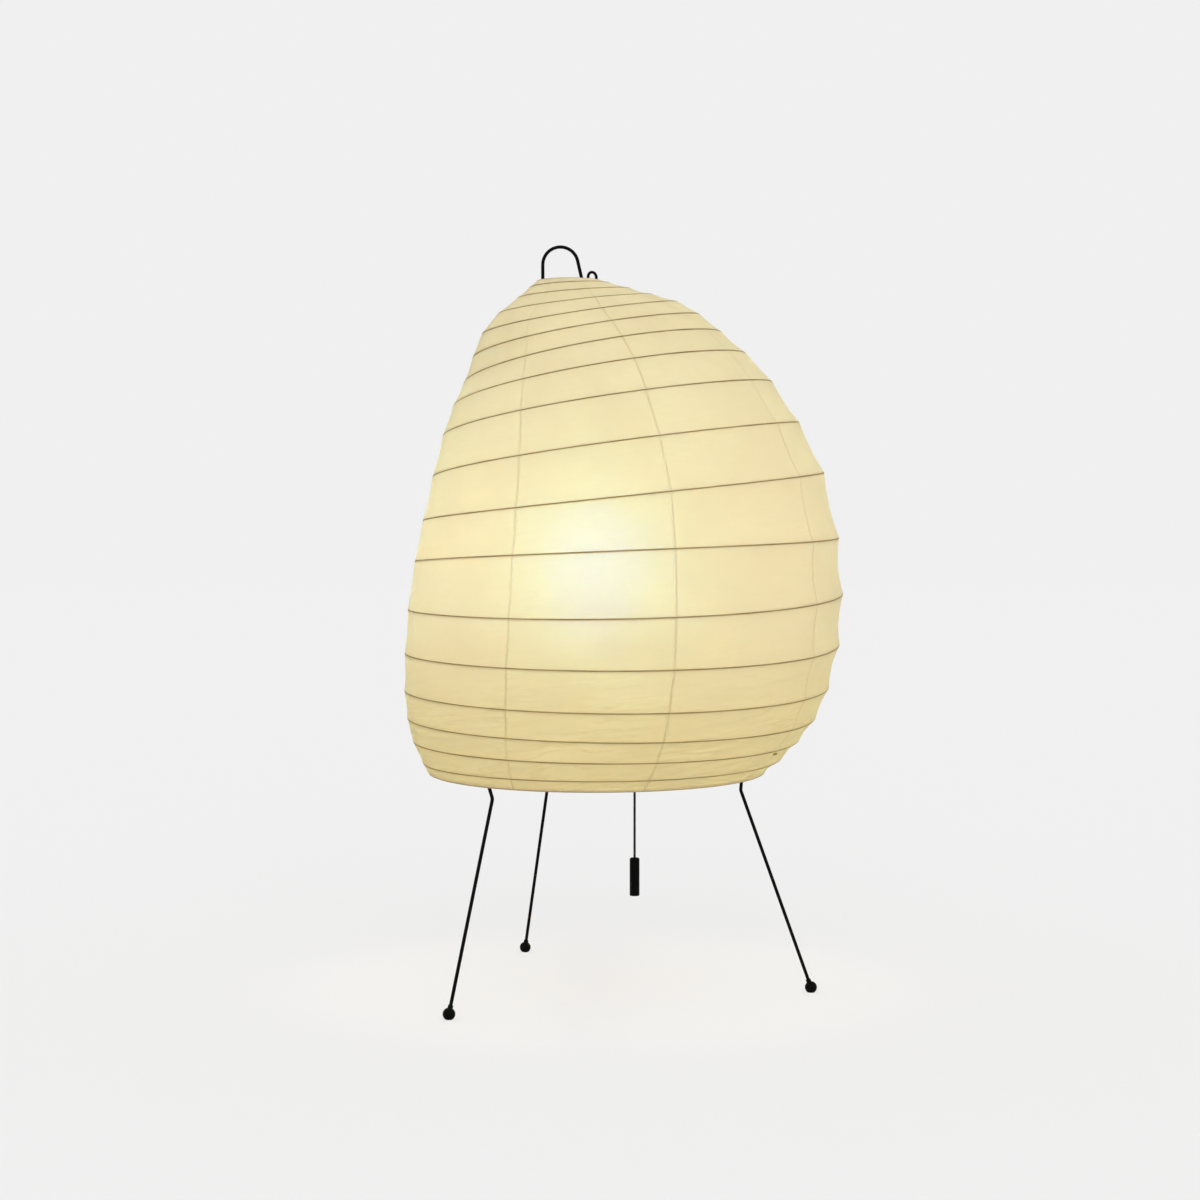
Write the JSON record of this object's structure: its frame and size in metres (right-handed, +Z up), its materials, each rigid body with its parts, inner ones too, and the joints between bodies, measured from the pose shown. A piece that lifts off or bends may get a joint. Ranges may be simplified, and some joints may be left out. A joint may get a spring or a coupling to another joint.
{
  "type": "rice paper table lamp",
  "caption": "Table lamp with a lopsided paper lantern shade on a spiral bamboo rib, a bent-wire tripod, a wire handle loop and a pull-cord switch.",
  "frame": {"origin": "on the table under the middle of the shade's outline, at the underside of the feet", "axes": "+Z up, -Y towards the viewer of the front, +X to the viewer's right"},
  "size_m": [0.2563, 0.2529, 0.4354],
  "materials": {
    "paper": "matt, translucent",
    "bamboo": "plain split bamboo",
    "black_wire": "satin black",
    "black_rubber": "matt black",
    "zinc": "zinc plated",
    "brass": "plain",
    "nickel": "nickel plated",
    "phenolic": "moulded, dark",
    "ceramic": "plain white",
    "frosted_glass": "frosted",
    "black_cord": "braided",
    "black_pull": "satin"
  },
  "bodies": {
    "lamp_frame": {"paper_gore_1": "paper", "paper_gore_2": "paper", "paper_gore_3": "paper", "paper_gore_4": "paper", "paper_gore_5": "paper", "paper_gore_6": "paper", "paper_gore_7": "paper", "paper_gore_8": "paper", "rib_spiral": "bamboo", "leg_front": "black_wire", "leg_side": "black_wire", "leg_rear": "black_wire", "stand_ring": "black_wire", "stretcher": "black_wire", "top_hook": "black_wire", "foot_front": "black_rubber", "foot_side": "black_rubber", "foot_rear": "black_rubber", "shade_bottom_ring": "zinc", "shade_top_ring": "zinc", "bridge_bar": "zinc", "nipple": "zinc", "lock_nut": "zinc", "washer": "zinc", "return_spring": "zinc", "screw_shell": "brass", "centre_contact": "brass", "cord_guide": "brass", "cord_gland": "phenolic", "socket_cap": "phenolic", "socket_shell": "phenolic", "shell_ring": "phenolic", "switch_body": "phenolic", "switch_cover": "phenolic", "socket_insulator": "ceramic"},
    "switch_slider": {"switch_plunger": "ceramic", "pull_rod": "nickel"},
    "pull": {"pull_cord": "black_cord", "cord_pull": "black_pull"},
    "bulb_tip": {"bulb_contact": "brass"},
    "bulb": {"bulb_glass": "frosted_glass", "bulb_cap": "nickel", "bulb_cap_insulator": "phenolic", "bulb_stem": "ceramic", "bulb_filament": "brass"}
  },
  "joints": [
    {"name": "switch_pull", "type": "slide", "parent": "lamp_frame", "child": "switch_slider", "axis": [0, 0, -1], "range_m": [0, 0.008], "stiffness_N_per_m": 800, "springref_m": -0.004, "deforming": ["return_spring"]},
    {"name": "cord_swing", "type": "hinge", "parent": "switch_slider", "child": "pull", "pos_m": [0.0068, 0, 0.1312], "axis": [0, 1, 0], "range_deg": [-25, 25]},
    {"name": "bulb_rise", "type": "slide", "parent": "lamp_frame", "child": "bulb_tip", "axis": [0, 0, 1], "range_m": [0, 0.0182]},
    {"name": "bulb_turn", "type": "hinge", "parent": "bulb_tip", "child": "bulb", "pos_m": [-0.0162, 0, 0.19], "axis": [0, 0, 1], "range_deg": [0, 1800]}
  ],
  "couplings": [
    {"joint": "bulb_rise", "follows": "bulb_turn", "m_per_rad": 0.000578}
  ]
}
